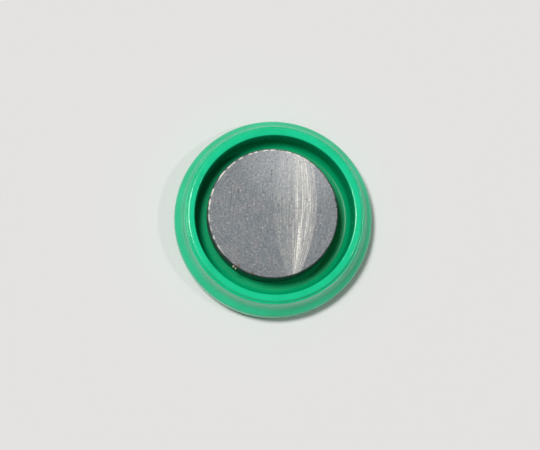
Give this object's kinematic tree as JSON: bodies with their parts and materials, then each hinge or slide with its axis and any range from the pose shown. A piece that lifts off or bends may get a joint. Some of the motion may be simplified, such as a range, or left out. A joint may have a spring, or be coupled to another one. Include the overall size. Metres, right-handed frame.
{
  "type": "disc magnet",
  "caption": "Round board magnet: a waisted green plastic cap with a ferrite disc glued into its open back, pole face up.",
  "frame": {"origin": "centre of the cap's front face, which it lies on", "axes": "+Z from the front face to the pole face of the disc; +Y away from the viewer"},
  "size_m": [0.03, 0.03, 0.0075],
  "materials": {
    "cap_plastic": "glossy moulded green plastic, slightly translucent",
    "ferrite": "ground grey ferrite with arc grinding marks",
    "glue": "cured amber adhesive"
  },
  "bodies": {
    "root": {"cap": "cap_plastic", "magnet": "ferrite", "adhesive": "glue"}
  },
  "joints": []
}
